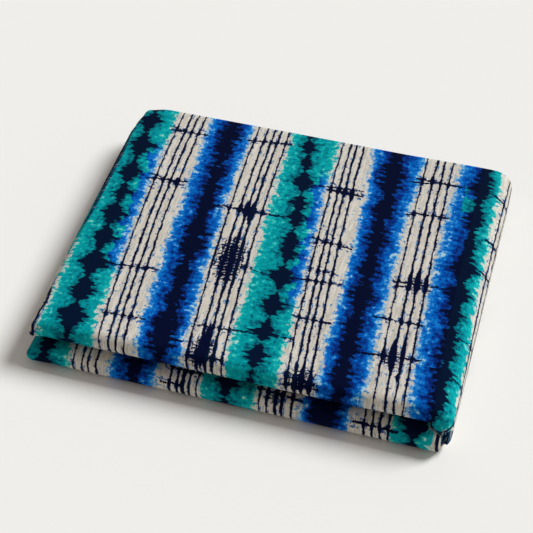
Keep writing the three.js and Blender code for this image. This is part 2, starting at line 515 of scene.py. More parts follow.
def noise(tree, x, y, seed, strength=1, detail=2, roughness=0.5):
    """Noise over a plane, whose unit is the size of its blots: about as far below 0 as above."""
    node = placed(tree, "ShaderNodeTexNoise", x, y, seed)
    node.noise_dimensions = "3D"
    node.inputs["Detail"].default_value = detail
    node.inputs["Roughness"].default_value = roughness
    return Field(tree, node.outputs["Fac"]).scaled(NOISE_SPREAD * strength, -NOISE_SPREAD * strength / 2)


def cells(tree, x, y):
    """Round cells over a plane, from about 1 at their middles to -1 between them."""
    node = placed(tree, "ShaderNodeTexVoronoi", x, y)
    node.voronoi_dimensions = "2D"
    return Field(tree, node.outputs["Distance"]).scaled(CELL_FALL, CELL_MIDDLE)


def curve(tree, value, readings, handle="AUTO_CLAMPED"):
    """Reads a short table of readings by their places as a curve."""
    places = sorted(readings)
    start, end = places[0], places[-1]
    least, most = min(readings.values()), max(readings.values())
    node = tree.nodes.new("ShaderNodeFloatCurve")
    line = node.mapping.curves[0]
    while len(line.points) < len(places):
        line.points.new(0.5, 0.5)
    for point, place in zip(line.points, places):
        point.location = ((place - start) / (end - start), (readings[place] - least) / (most - least))
        point.handle_type = handle
    node.mapping.update()
    share = (value - start) / (end - start)
    plug(tree, share, node.inputs["Value"])
    return Field(tree, node.outputs[0]).scaled(most - least, least)


def blend(tree, share, first, second, kind="MIX"):
    """A colour between two others, or one darkened by the other; each is a constant or a socket."""
    node = tree.nodes.new("ShaderNodeMix")
    node.data_type = "RGBA"
    node.blend_type = kind
    plug(tree, share, node.inputs[0])
    for colour, socket in ((first, node.inputs[6]), (second, node.inputs[7])):
        if isinstance(colour, tuple):
            socket.default_value = colour
        else:
            tree.links.new(colour, socket)
    return node.outputs[2]


def shades(tree, value, rows):
    """A colour that runs through the shades of a table, each at its place from 0 to 1."""
    node = tree.nodes.new("ShaderNodeValToRGB")
    stops = node.color_ramp.elements
    while len(stops) < len(rows):
        stops.new(0.5)
    for stop, (place, shade) in zip(stops, rows.items()):
        stop.position = place
        stop.color = shade
    plug(tree, value, node.inputs[0])
    return node.outputs[0]


# ---- The print: its colours ----

def dye(red, green, blue):
    """A colour written as 0 to 255 display values, as linear light, by the sRGB curve."""
    linear = []
    for value in (red, green, blue):
        share = value / 255
        linear.append(share / 12.92 if share <= 0.04045 else ((share + 0.055) / 1.055) ** 2.4)
    return (*linear, 1.0)


CREAM = dye(220, 215, 205)
CREAM_SHADE = dye(194, 187, 173)
NAVY = dye(1, 9, 42)
TEAL_NAVY = dye(0, 18, 45)
INK_BLUE = dye(4, 42, 112)
DEEP_TEAL = dye(0, 82, 96)
PALE_BLUE = dye(92, 160, 208)
PALE_GREEN = dye(96, 200, 190)
THREAD_SHADE = (0.78, 0.78, 0.78, 1.0)

FLECKS = {
    0.0: dye(132, 186, 208), 0.3: dye(52, 144, 196), 0.6: dye(10, 98, 164),
    1.0: dye(4, 58, 124),
}

BLUES = {
    0.0: dye(172, 205, 220), 0.14: dye(98, 168, 216), 0.3: dye(18, 126, 206),
    0.5: dye(0, 102, 194), 0.78: dye(0, 72, 162), 1.0: dye(4, 34, 110),
}
GREENS = {
    0.0: dye(186, 220, 206), 0.14: dye(98, 202, 188), 0.3: dye(18, 182, 180),
    0.5: dye(0, 160, 166), 0.85: dye(0, 134, 146), 1.0: dye(0, 84, 104),
}

# The shades of the fold ends' dark streaked patches, which also make the painted shadow at the closing
# fold's end.
END_STREAKS_AND_PAINTED_SHADOW = {
    0.0: dye(2, 10, 36), 0.4: dye(4, 22, 60), 0.55: dye(4, 92, 118),
    0.72: dye(10, 60, 120), 0.9: dye(196, 200, 192),
}

# ---- The print: where its stripes lie ----

# Stripes stand a pitch apart across the cloth and lean to the right as they come to the front.
# Stripe 0 is the leftmost of the top.
STRIPE_PITCH = 77.3
FIRST_STRIPE = -163
BACK = 135
FRONT = -100

# How far the noises along the two sides of a stripe, and along two stripes, lie apart.
SIDE_APART = 0.25
STRIPES_APART = 7.3

# How near a number has to lie to a whole one to count as it.
EXACTLY = 0.1

# How far each stripe stands from its even place, in pitches: at the back, how far it has moved by
# the front, and how far it bows out half way. They are read at these places across.
MOVE_PLACES = (-163, -86, -8, 69, 146, 223, 301, 378, 533)
STRIPE_SHIFTS = (0.0, 0.016, -0.047, -0.012, 0.017, -0.1, -0.18, -0.16, -0.18)
STRIPE_LEANS = (0.252, 0.226, 0.31, 0.162, 0.11, 0.1, 0.1, 0.1, 0.1)
STRIPE_BOWS = (0.023, -0.016, 0.058, 0.0, -0.016, 0.0, 0.0, 0.0, 0.0)

# Each stripe's dark heart is a chain of lobes, with their places along and half widths; a waist
# lies between two lobes, and is as narrow as the stripe's own where they stand well apart.
# The dye round it reaches left and right by the widths at the back, half way and at the front.
CHART_BACK = 150
CHART_HALF_WAY = -10
CHART_FRONT = -172
LOWER_CHART_SHIFT = 40
CLOSE_LOBES = 8
OPEN_LOBES = 24
STRIPES = [
    {"waist": 2.0, "left": (22, 27, 26), "right": (25, 22, 21),
     "lobes": (150, 126, 91, 53, 29, 3, -26, -55, -88, -115, -150),
     "halves": (11, 13, 13, 13, 9, 14, 12, 15, 12, 14, 9)},
    {"waist": 4.5, "left": (20.5, 21, 18.5), "right": (21, 17, 22),
     "lobes": (150, 125, 108, 73, 54, 33, 0, -16, -48, -80, -104, -117, -150),
     "halves": (8, 11, 9.5, 8, 8.5, 8, 10, 12, 8, 7.5, 11.5, 13, 10)},
    {"waist": 0.5, "left": (15, 25, 21), "right": (27, 19, 23),
     "lobes": (150, 128, 107, 83, 55, 37, 10, -4, -31, -62, -91, -114, -150),
     "halves": (6, 8, 6.5, 11.5, 8, 8, 8, 8, 12, 11, 10, 9.5, 8)},
    {"waist": 4.5, "left": (20, 19, 19), "right": (25, 21, 21),
     "lobes": (150, 118, 104, 68, 46, 33, -2, -32, -64, -88, -114, -150),
     "halves": (9, 10.5, 12, 11, 8.5, 9, 8.5, 12, 8.5, 10, 9.5, 9)},
    {"waist": 3.0, "left": (22, 24, 20), "right": (16, 17, 29),
     "lobes": (150, 127, 115, 76, 48, 30, 18, -12, -34, -57, -73, -95, -116, -150),
     "halves": (10, 7.5, 9.5, 8.5, 6.5, 7, 13.5, 11, 9, 7, 8.5, 9, 8.5, 9)},
]

# The fine lines of each undyed column: their middle at the back, half way and at the front, how
# far each line lies from it, and half the lines' widths.
LINE_GROUPS = [
    # back, half_way, front, offsets, halves
    (-196, -188, -175.5, (-9, -3, 3.5), (0.5, 0.6, 0.55)),
    (-121.6, -117.4, -107.1, (-10.8, -2.6, 3.4, 10.2), (0.5, 0.75, 0.75, 0.7)),
    (-46, -40.1, -29.7, (-14.6, -6, 0.6, 6.3, 13.8), (0.5, 0.7, 0.8, 0.8, 0.6)),
    (28.1, 35.7, 46.1, (-9.4, -2.6, 2.7, 9.3), (0.55, 0.75, 0.75, 0.7)),
    (107.4, 112.3, 119.4, (-12, -3, 3.8, 11.1), (0.45, 0.75, 0.75, 0.6)),
    (179, 178, 184, (-6.5, 0.5, 7, 18.6), (0.6, 0.7, 0.6, 0.9)),
    (229, 239.5, 249.9, (-9.9, -2.9, 3.1, 9.6), (0.7, 0.8, 0.7, 0.7)),
    (309, 319.5, 330.4, (-13.4, -5.4, -0.4, 6.6, 12.6), (0.7, 0.8, 0.8, 0.6, 0.5)),
    (385, 395.5, 405.9, (-11.4, -4.9, 0.1, 5.1, 11.1), (0.6, 0.75, 1.6, 0.8, 0.7)),
    (468, 478.5, 488.6, (-9.6, -2.6, 2.4, 9.9), (0.75, 0.6, 0.6, 0.6)),
]

# How far the line by the left edge moves over to it at the front corner.
CORNER_HOOK = 4.4

# The ties that cross the columns: where across each starts and ends, the place along of these two
# ends, and half its width.
TIES = [
    # start, end, at_start, at_end, half
    (-182, -171, -134.5, -140, 0.3),
    (-137, -102, 117, 118, 0.9),
    (-139, -124, 121.5, 118, 0.5),
    (-137, -101, 51, 55, 1.0),
    (-136, -103, 57, 49.5, 0.6),
    (-146, -92, -55, -50, 0.8),
    (-120, -84, -106, -104, 0.7),
    (-66, -26, 121.5, 126.5, 1.0),
    (-72, -8, 34, 35.5, 0.95),
    (-27, 4, -28, -33.5, 0.5),
    (-42, 34, -98.5, -92, 0.75),
    (-42, -12, -129, -127, 1.0),
    (20, 50, 79, 79.5, 1.2),
    (8, 49, 81, 85.5, 0.6),
    (21, 56, 19, 15, 0.8),
    (21, 34, 12.5, 16, 0.6),
    (26, 50, -16, -16, 0.4),
    (18, 58, -29.5, -26, 0.8),
    (28, 60, -68.5, -68.5, 0.75),
    (38, 63, -128, -130, 0.9),
    (37, 66, -134.5, -133, 0.9),
    (91, 131, 114.5, 112.5, 1.1),
    (84, 102, 109, 110.5, 0.7),
    (96, 127, 71, 72, 0.9),
    (91, 100, 67, 71, 0.6),
    (98, 151, -10.5, -7.5, 1.0),
    (100, 130, -15, -14, 0.5),
    (90, 133, -52, -52, 0.75),
    (86, 138, -91.5, -87, 1.0),
    (160, 192, 110.5, 106, 1.0),
    (162, 192, 56.5, 56, 1.0),
    (160, 196, 21, 18, 0.9),
    (160, 196, -56, -55, 0.6),
    (163, 196, -96, -96, 0.7),
    (237, 272, -145, -146, 1.0),
    (313, 351, -152, -156, 0.8),
    (396, 424, -156, -157, 0.8),
    (412, 428, -144, -143, 0.8),
]

# The long lens-shaped knots on single lines.
KNOTS = [
    # across, along, half_width, half_length
    (-41, 35, 3.0, 12),
    (-36, 32, 3.0, 15),
    (-47, 36, 2.2, 8),
    (-30.5, -116, 2.6, 24),
    (41, 79, 2.3, 11),
    (45.5, 17, 2.2, 6),
    (114.5, -88, 3.2, 18),
    (122, -85, 2.0, 20),
    (123, -108, 1.8, 5),
    (107, -88, 1.8, 9),
    (110.5, -6, 1.9, 11),
    (117, -6, 2.6, 15),
    (124, -6, 2.0, 10),
    (-110.5, 53, 2.0, 6),
    (104.5, 114, 1.9, 8),
]

# The dark blots where many ties crowd together, with undyed dots left between them: 1 is so full
# that the middle has no dots left.
BLOTS = [
    # across, along, half_width, half_length, fullness
    (-38, -24, 14, 31, 0.8),
    (-32, -122, 15, 22, 0.45),
    (52, -128, 17, 15, 0.5),
    (-38, 35, 12, 9, 0.5),
    (35, 80, 14, 6, 0.4),
    (116, -10, 13, 12, 0.45),
    (114, -92, 12, 16, 0.35),
    (335, -150, 16, 12, 0.2),
]

# The undyed column on the closing fold, which the dye clips at the front, and the dark patches at
# the ends of the folds, streaked across. The one at the closing fold's end is also painted shadow:
# it darkens the seam between that end and the band, where shade falls.
CLOSING_COLUMN_START = 174
CLOSING_COLUMN_END = 210.5
CLOSING_COLUMN_CLIPPED = 9
DARK_ENDS_AND_PAINTED_SHADOW = [
    # across, along, half_width, half_length
    # At the closing fold's end: streaked dye, and painted shadow over the seam beside the band.
    (191.5, -142, 10, 16),
    (-181, 40, 9.5, 70),
]


# ---- The print: its textures and soft changes ----

# The textures, by the size of their blots; what a row leaves out is as noise() has it.
TEXTURES = {
    # name: width, length, seed, strength, detail, roughness
    "mottle": (5.2, 3.4, 51, 1, 5, 0.66),
    "fine": (2.0, 1.2, 61),
    "fleck": (3.8, 3.2, 81, 1, 1),
    "patch": (10, 11, 33),
    "blotch": (4.6, 4.2, 37, 1, 3),
    "dash": (2.0, 8, 85, 1, 1),
    "thread": (0.9, 12, 71),
    "yarn": (2.6, 45, 75),
    "cross yarn": (9, 0.8, 73),
    "line drift": (9, 24, 7, 0.3),
    "line wobble": (6, 8, 6, 0.24, 0),
    "line swell": (4, 9, 8, 0.22, 1),
    "line nubs": (3.5, 1.7, 5),
    "tie drift": (4.5, 30, 21, 0.6),
    "tie beads": (2.4, 6, 22, 0.55, 1),
    "blot edge": (7, 7, 45, 0.2),
    "dot drift": (5, 5, 41, 1.1),
    "dot size": (3, 3, 43, 0.45),
    "end streaks": (22, 1.1, 53, 0.42),
    "slub": (0.8, 16, 91, 0.5, 1),
    "cross slub": (16, 0.8, 95, 0.3, 1),
}
CELL_WIDTH = 4.8
CELL_LENGTH = 5.6
CELL_BEND = 0.8

# How much of each texture goes into a mix.
MIXES = {
    "blue mottle": {"mottle": 0.33, "blotch": 0.33, "patch": 0.232, "thread": 0.088},
    "green mottle": {"mottle": 0.33, "blotch": 0.33, "patch": 0.132, "thread": 0.088},
    "pale blotches": {"blotch": 1, "cell": 0.4, "patch": 0.8},
    "blue rim": {"patch": 5, "mottle": 2},
    "heart edge": {"fine": 0.5, "mottle": 0.6},
    "heart clouds": {"blotch": 2.6, "patch": 2},
    "chips": {"fleck": 1.1, "mottle": 1.3, "fine": 0.3},
    "halo": {"fleck": 0.8, "mottle": 0.4},
    "flecks": {"fleck": 1.15, "fine": 0.3},
    "fringe": {"blotch": 0.7, "cell": 0.5},
    "cotton streaks": {"thread": 0.6, "yarn": 0.6},
    "thread shade": {"thread": 0.5, "cross yarn": 0.35},
}

# Where each soft change starts and where it is complete: in millimetres of depth or of place, or
# in the units of the mix, blot or dark end that it is named after.
EDGES = {
    # name: start, end
    "hooked along": (-98, -135),
    "hooked across": (-150, -170),
    "clipped column": (-112, -134),
    "crowded": (-1, 0.4),
    "blue rim": (-0.8, 1.2),
    "blue rim stretch": (88, 62),
    "green side": (-3, -1),
    "green patch": (-16, -10),
    "green patch side": (-3, 1),
    "pale blotches": (-0.4, 1),
    "near zone": (-8, 0),
    "near mark": (-3.5, -0.2),
    "near tie": (-7, -1),
    "fringe by zone": (-5.5, 0.5),
    "fringe": (1, 1.9),
    "flecks": (1.05, 1.6),
    "cotton streaks": (-0.9, 1.1),
    "heart shadow": (-0.5, 3),
    "halo": (-0.5, 0.5),
    "mark": (-0.3, 0.3),
    "dark end": (1.2, 0.8),
    "thread shade": (-0.8, 1.4),
}

# The jags that run across the cloth, whose length grows by a share of the heart's half width.
JAGS = {
    # name: pitch, seed, sharpness, length, by_heart
    "heart": (6.8, 1, 1.5, 2.4, 0.5),
    "heart teeth": (2.9, 12, 1.3, 1.0, 0.16),
    "rim": (2.4, 9, 1.5, 0.6, 0),
    "shadow": (5.0, 27, 1.5, 7.0, 0),
    "shadow teeth": (2.3, 31, 1.5, 3.0, 0),
}
JAG_WANDER = 0.45
JAG_WANDER_PITCHES = 2.6
JAG_REACH = 0.75
JAG_REACH_SPREAD = 0.45
JAG_REACH_PITCHES = 1.3
JAG_REACH_LEAST = 0.1
JAG_SEED_STEP = 5

# The tones of the dye round a heart, from 0 at its pale end to 1 at its dark one.
TONES = {
    "blue": {"start": 0.23, "depth": 0.78, "pale": -0.34},
    "green": {"start": 0.44, "depth": 0.42, "pale": -0.26},
}
PALE_FADE = 1.2
LEAST_RIM = 4.0
RIM_WANDER = 1.6
RIM_WANDER_LENGTH = 16
RIM_WANDER_SEED = 14
RIM_DRAWN_IN = 0.6
RIM_CHIPS = {"blue": 1.5, "green": 2.2}
RIM_SOFTNESS = {"blue": 2.2, "green": 0.8}
LEAST_SOFTNESS = 0.5

# Stripe 4 is blue on its left and green on its right, with one green patch on the left. The
# green stripes of the upper half are blue along their right rims.
TWO_COLOUR_STRIPE = 4
LAST_UPPER_STRIPE = 4
BLUE_RIM = 9.8
BLUE_RIM_MIDDLE = 18
GREEN_SIDE_RAGGED = 1.5
GREEN_PATCH_ALONG = 92
GREEN_PATCH_RAGGED = 9
GREEN_PATCH_REACH = 12

# The hearts' edges and the darker dye beside them.
HEART_ROOT = 1.4
HEART_ROOT_BY_HEART = 0.22
TEETH_SHARE = {"blue": 0.5, "green": 1.0}
CLOUD_SHARE = {"blue": 1.0, "green": 0.2}
SHADOW_RAGGED = 1.2
SHADOW_STRENGTH = 0.5
EDGE_START = {"blue": -3.6, "green": -1.6}
EDGE_STRENGTH = 0.75
NAVY_START = {"blue": -1.4, "green": -0.6}
NAVY_END = 0.5

# The lines, which thicken near ties and blots, and the paler dye round all the marks.
LINE_SPREAD = 0.12
NUB_RARITY = 0.45
NUB_SIZE = 0.8
TIE_REACH = 3.0
TIE_THICKENING = 0.28
CROWD_THICKENING = 0.7
MARK_RAGGED = 0.15
HALO_STRENGTH = 0.8

# The knots and blots lean, and the blots' dots stand on a leaning grid.
MARKS_LEAN = 0.08
DOTS_LEAN = 0.1
DOTS_ACROSS = 3.7
DOTS_ALONG = 3.3
DOTS_CLOSED = 1.4
DOTS_SPREAD = 0.25
BLOT_STEEPNESS = 4.0

# The flecks, dashes and pale fringes on the undyed cotton.
FLECKS_BY_ZONE = 0.6
FLECKS_BY_TIE = 0.75
FLECK_STRENGTH = 0.9
FLECK_TONE = 0.3
FLECK_TONE_MOTTLE = 0.5
DASHES_BY_MARK = 0.95
DASH_RARITY = 0.2
FRINGE_BY_ZONE = 1.5
FRINGE_STRENGTH = 0.7
END_STREAK_TONE = 0.45
END_RAGGED = 0.15


class Chart:
    """The fields that place a point of the cloth among its stripes and columns."""

    def __init__(self, tree):
        plan = tree.nodes.new("ShaderNodeUVMap")
        plan.uv_map = PLAN
        split = tree.nodes.new("ShaderNodeSeparateXYZ")
        tree.links.new(plan.outputs[0], split.inputs[0])
        self.tree = tree
        self.across = Field(tree, split.outputs[0]) / METRE
        self.along = Field(tree, split.outputs[1]) / METRE
        self.leaning = self.across + self.along * MARKS_LEAN
        self.forward = (self.along * -1 + BACK) / (BACK - FRONT)
        self.half_way = self.forward * (self.forward * -1 + 1.0) * 4
        self.place_stripes()
        self.made = {}
        bend = self.texture("mottle") * CELL_BEND
        across, along = (self.across + bend) / CELL_WIDTH, (self.along + bend) / CELL_LENGTH
        self.made["cell"] = cells(tree, across, along)

    def place_stripes(self):
        """The nearest stripe, and a point's place beside it and along its chart."""
        shift, lean, bow = [
            curve(self.tree, self.across, dict(zip(MOVE_PLACES, moves)))
            for moves in (STRIPE_SHIFTS, STRIPE_LEANS, STRIPE_BOWS)
        ]
        moved = shift + lean * self.forward + bow * self.half_way
        phase = (self.across - FIRST_STRIPE) / STRIPE_PITCH - moved
        self.stripe = phase.math("ROUND")
        self.kind = self.stripe.math("FLOORED_MODULO", len(STRIPES))
        self.from_stripe = (phase - self.stripe) * STRIPE_PITCH
        self.on_right = self.from_stripe.above(0.0)
        self.lower = self.stripe.above(LAST_UPPER_STRIPE + 0.5)
        reading = self.along * -1 + CHART_BACK - self.lower * LOWER_CHART_SHIFT
        self.chart_along = reading.zigzag(CHART_BACK - CHART_FRONT) * -1 + CHART_BACK
        self.side = self.from_stripe.math("SIGN") * SIDE_APART + self.stripe * STRIPES_APART

    def texture(self, name):
        """A texture of the table, made once."""
        if name not in self.made:
            width, length, *rest = TEXTURES[name]
            self.made[name] = noise(self.tree, self.across / width, self.along / length, *rest)
        return self.made[name]

    def mix(self, name):
        return sum_of([self.texture(key) * share for key, share in MIXES[name].items()])


# ---- The print: its fields ----

def heart_rows(stripe):
    """The half widths of a stripe's heart at its lobes and at the waists between them."""
    places, halves = stripe["lobes"], stripe["halves"]
    readings = dict(zip(places, halves))
    for place, following, half, following_half in zip(places, places[1:], halves, halves[1:]):
        apart = (place - following - CLOSE_LOBES) / (OPEN_LOBES - CLOSE_LOBES)
        narrower = min(half, following_half)
        drawn_in = (narrower - stripe["waist"]) * min(max(apart, 0), 1)
        readings[(place + following) / 2] = narrower - drawn_in
    return {**readings, CHART_FRONT: stripe["waist"]}


def rim_rows(stripe, side):
    return dict(zip((CHART_BACK, CHART_HALF_WAY, CHART_FRONT), stripe[side]))


def of_stripe(chart, rows_of, handle="AUTO_CLAMPED"):
    """Reads a half width from the nearest stripe's own chart."""
    parts = []
    for number, stripe in enumerate(STRIPES):
        reading = curve(chart.tree, chart.chart_along, rows_of(stripe), handle)
        parts.append(reading * chart.kind.math("COMPARE", number, EXACTLY))
    return sum_of(parts)


def jags(chart, name, heart):
    """Jags that run across the cloth, from 0 between them to their length at their tips."""
    pitch, seed, sharpness, length, by_heart = JAGS[name]
    wander = noise(chart.tree, chart.side, chart.along / (JAG_WANDER_PITCHES * pitch), seed)
    saw = (chart.along / pitch + wander * JAG_WANDER).zigzag(0.5) * 2
    reach_along = chart.along / (JAG_REACH_PITCHES * pitch)
    reach = noise(chart.tree, chart.side, reach_along, seed + JAG_SEED_STEP)
    reach = reach.scaled(JAG_REACH_SPREAD, JAG_REACH).atleast(JAG_REACH_LEAST)
    return saw.math("POWER", sharpness) * reach * heart.scaled(by_heart, length)


def by_green(green, row):
    """A number that differs between the blue and the green dye."""
    return green.scaled(row["green"] - row["blue"], row["blue"])


def line_field(chart, thicken):
    """How deep a point lies in the fine lines, in millimetres."""
    hook = chart.along.eased("hooked along") * chart.across.eased("hooked across") * CORNER_HOOK
    shifted = chart.across + (chart.texture("line drift") + chart.texture("line wobble") + hook)
    nubs = (chart.texture("line nubs") - NUB_RARITY).atleast(0.0) * NUB_SIZE
    insides = []
    for back, half_way, front, offsets, halves in LINE_GROUPS:
        bow = half_way - (back + front) / 2
        place = shifted - (chart.forward.scaled(front - back, back) + chart.half_way * bow)
        for offset, half in zip(offsets, halves):
            insides.append(abs(place - offset).scaled(-1, half))
    return deepest_of(insides) + (chart.texture("line swell") + nubs + thicken + LINE_SPREAD)


def tie_field(chart):
    """How deep a point lies in the cross-ties, in millimetres."""
    along = chart.along + chart.texture("tie drift")
    insides = []
    for start, end, at_start, at_end, half in TIES:
        slope = (at_end - at_start) / (end - start)
        tie_along = chart.across.scaled(slope, at_start - slope * start)
        beyond = (abs(chart.across - (start + end) / 2) - (end - start) / 2).atleast(0.0)
        insides.append((abs(along - tie_along) + beyond).scaled(-1, half))
    return deepest_of(insides) + chart.texture("tie beads")


def from_mark(chart, across, along):
    """How far a point lies from a mark's middle, across the marks' lean and along."""
    return chart.leaning - (across + MARKS_LEAN * along), chart.along - along


def knot_field(chart):
    """How deep a point lies in the long knots, in millimetres."""
    insides = []
    for *middle, half_width, half_length in KNOTS:
        across, along = from_mark(chart, *middle)
        narrower = (along / half_length).math("POWER", 2.0)
        insides.append(narrower.scaled(-half_width, half_width) - abs(across))
    return deepest_of(insides)


def crowd_field(chart):
    """Below 0 away from the blots, and each one's fullness at its middle."""
    insides = []
    for *middle, half_width, half_length, fullness in BLOTS:
        across, along = from_mark(chart, *middle)
        across, along = across / half_width, along / half_length
        insides.append((across * across + along * along).scaled(-1, fullness))
    return deepest_of(insides) + chart.texture("blot edge")


def blot_field(chart, crowd):
    """How deep a point lies in the blots, whose undyed dots are biggest near their edges."""
    drift = chart.texture("dot drift")
    across = chart.across + chart.along * DOTS_LEAN + drift
    across = (across / DOTS_ACROSS).zigzag(0.5) * DOTS_ACROSS
    along = ((chart.along + drift) / DOTS_ALONG).zigzag(0.5) * DOTS_ALONG
    dot = across.upto(along) * -1 + crowd * DOTS_CLOSED + chart.texture("dot size") + DOTS_SPREAD
    return dot.upto(crowd * BLOT_STEEPNESS)


def marks_field(chart, ties):
    """How deep a point lies in the lines, ties, knots and blots, in millimetres."""
    crowd = crowd_field(chart)
    thicken = (ties + TIE_REACH).atleast(0.0).upto(TIE_REACH) * TIE_THICKENING
    thicken = thicken + crowd.eased("crowded") * CROWD_THICKENING
    lines = line_field(chart, thicken)
    marks = deepest_of([lines, ties, knot_field(chart), blot_field(chart, crowd)])
    return marks + chart.texture("fine") * MARK_RAGGED


def zone_field(chart, heart):
    """How deep a point lies in the dye round a heart, in millimetres, and how far that reaches."""
    left_rim = of_stripe(chart, lambda stripe: rim_rows(stripe, "left"))
    right_rim = of_stripe(chart, lambda stripe: rim_rows(stripe, "right"))
    rim = blend_number(left_rim, right_rim, chart.on_right)
    wander = noise(chart.tree, chart.side, chart.along / RIM_WANDER_LENGTH, RIM_WANDER_SEED) * RIM_WANDER
    in_zone = rim + wander + jags(chart, "rim", heart) - abs(chart.from_stripe)
    column_start = chart.along.eased("clipped column") * CLOSING_COLUMN_CLIPPED + CLOSING_COLUMN_START
    off_column = (column_start - chart.across).atleast(chart.across - CLOSING_COLUMN_END)
    return in_zone.upto(off_column), rim


def greenness(chart, in_zone):
    """1 where the dye round a heart is green and 0 where it is blue, by the stripe and side."""
    even = (abs(chart.stripe + chart.lower).math("FLOORED_MODULO", 2) * -1 + 0.5).above(0.0)
    is_two_coloured = chart.stripe.math("COMPARE", TWO_COLOUR_STRIPE, EXACTLY)
    stretch = abs(chart.along - BLUE_RIM_MIDDLE).eased("blue rim stretch") * (chart.lower * -1 + 1.0)
    blue_rim = (in_zone * -1 + chart.mix("blue rim") + BLUE_RIM).eased("blue rim")
    green = even * (blue_rim * chart.on_right * stretch * -1 + 1.0)
    green_side = (chart.from_stripe + chart.texture("mottle") * GREEN_SIDE_RAGGED).eased("green side")
    patch = chart.texture("patch") * GREEN_PATCH_RAGGED - abs(chart.along - GREEN_PATCH_ALONG)
    patch = patch.eased("green patch") * (chart.from_stripe + GREEN_PATCH_REACH).eased("green patch side")
    return blend_number(green, green_side.atleast(patch), is_two_coloured)


def heart_field(chart, heart, green):
    """How deep a point lies in a heart, whose jags are longest where it is widest."""
    teeth = jags(chart, "heart teeth", heart) * by_green(green, TEETH_SHARE)
    root = heart.scaled(HEART_ROOT_BY_HEART, HEART_ROOT)
    clouds = chart.mix("heart clouds") * by_green(green, CLOUD_SHARE)
    edge = jags(chart, "heart", heart) + teeth - root + clouds + chart.mix("heart edge")
    return heart + edge - abs(chart.from_stripe)


# ---- The print: its colour over the cloth ----

def zone_colour(chart, green, depth):
    """The dye round a heart, mottled, with pale blotches and thread streaks."""
    pale = (chart.mix("pale blotches") - depth * PALE_FADE).eased("pale blotches")
    colours = []
    for name, rows in (("blue", BLUES), ("green", GREENS)):
        row = TONES[name]
        tone = depth * row["depth"] + chart.mix(name + " mottle") + pale * row["pale"] + row["start"]
        colours.append(shades(chart.tree, tone, rows))
    return blend(chart.tree, green, *colours)


def ground_colour(chart, in_zone, marks, ties, green):
    """The undyed cotton, with its thread streaks and the flecks of dye that reached it."""
    tree = chart.tree
    ground = blend(tree, chart.mix("cotton streaks").eased("cotton streaks"), CREAM, CREAM_SHADE)
    near_mark, near_tie = marks.eased("near mark"), ties.eased("near tie")
    fleck = in_zone.eased("near zone") * FLECKS_BY_ZONE + near_tie * FLECKS_BY_TIE
    dash = chart.texture("dash") + near_mark * DASHES_BY_MARK - DASH_RARITY
    fleck = (chart.mix("flecks") + fleck).atleast(dash).eased("flecks")
    tone = chart.texture("mottle") * FLECK_TONE_MOTTLE + (near_mark + near_tie) * FLECK_TONE + FLECK_TONE
    fringe = chart.mix("fringe") + in_zone.eased("fringe by zone") * FRINGE_BY_ZONE
    pale = blend(tree, green, PALE_BLUE, PALE_GREEN)
    ground = blend(tree, fringe.eased("fringe") * FRINGE_STRENGTH, ground, pale)
    return blend(tree, fleck * FLECK_STRENGTH, ground, shades(tree, tone.atleast(0.0), FLECKS))


def add_zone(chart, colour, in_zone, depth, green):
    """Adds the dye round the hearts, whose rim is chipped, and softer here and there."""
    chips = chart.texture("cell") * by_green(green, RIM_CHIPS) + chart.mix("chips")
    softness = chart.texture("patch").atleast(0.0) * by_green(green, RIM_SOFTNESS) + LEAST_SOFTNESS
    dyed = (in_zone + chips - RIM_DRAWN_IN).rising(softness * -1, softness)
    return blend(chart.tree, dyed, colour, zone_colour(chart, green, depth))


def add_heart_shadow(chart, colour, heart, in_heart, green):
    """Adds the darker dye beside the hearts."""
    ragged = jags(chart, "shadow", heart) + jags(chart, "shadow teeth", heart)
    ragged = ragged + chart.texture("mottle") * SHADOW_RAGGED
    shadow = (heart + ragged - abs(chart.from_stripe)).eased("heart shadow") * SHADOW_STRENGTH
    edge = in_heart.rising(by_green(green, EDGE_START), 0.0) * EDGE_STRENGTH
    shade = blend(chart.tree, green, INK_BLUE, DEEP_TEAL)
    return blend(chart.tree, shadow.atleast(edge), colour, shade)


def add_dark_ends_and_painted_shadow(chart, colour):
    """Adds the dark patches at the ends of the folds, streaked across; at the closing fold's end the
    patch is painted shadow as well.
    """
    streaks = shades(chart.tree, chart.texture("end streaks") + END_STREAK_TONE, END_STREAKS_AND_PAINTED_SHADOW)
    for across, along, half_width, half_length in DARK_ENDS_AND_PAINTED_SHADOW:
        away = ((chart.across - across) / half_width).math("POWER", 4.0)
        away = away + ((chart.along - along) / half_length).math("POWER", 4.0)
        away = away + chart.texture("mottle") * END_RAGGED
        colour = blend(chart.tree, away.eased("dark end"), colour, streaks)
    return colour


def print_colour(chart):
    """The dyed colour of the cloth."""
    tree = chart.tree
    heart = of_stripe(chart, heart_rows, "VECTOR")
    in_zone, rim = zone_field(chart, heart)
    depth = (in_zone / (rim - heart).atleast(LEAST_RIM)).atleast(0.0).upto(1.0)
    green = greenness(chart, in_zone)
    in_heart = heart_field(chart, heart, green)
    ties = tie_field(chart)
    marks = marks_field(chart, ties)

    colour = ground_colour(chart, in_zone, marks, ties, green)
    colour = add_zone(chart, colour, in_zone, depth, green)
    halo = (marks + chart.mix("halo")).eased("halo")
    colour = blend(tree, halo * HALO_STRENGTH, colour, INK_BLUE)
    colour = add_heart_shadow(chart, colour, heart, in_heart, green)
    inked = marks.eased("mark").atleast(in_heart.rising(by_green(green, NAVY_START), NAVY_END))
    colour = blend(tree, inked, colour, blend(tree, green, NAVY, TEAL_NAVY))
    colour = add_dark_ends_and_painted_shadow(chart, colour)
    return blend(tree, chart.mix("thread shade").eased("thread shade"), colour, THREAD_SHADE, "MULTIPLY")


# ---- The cotton ----

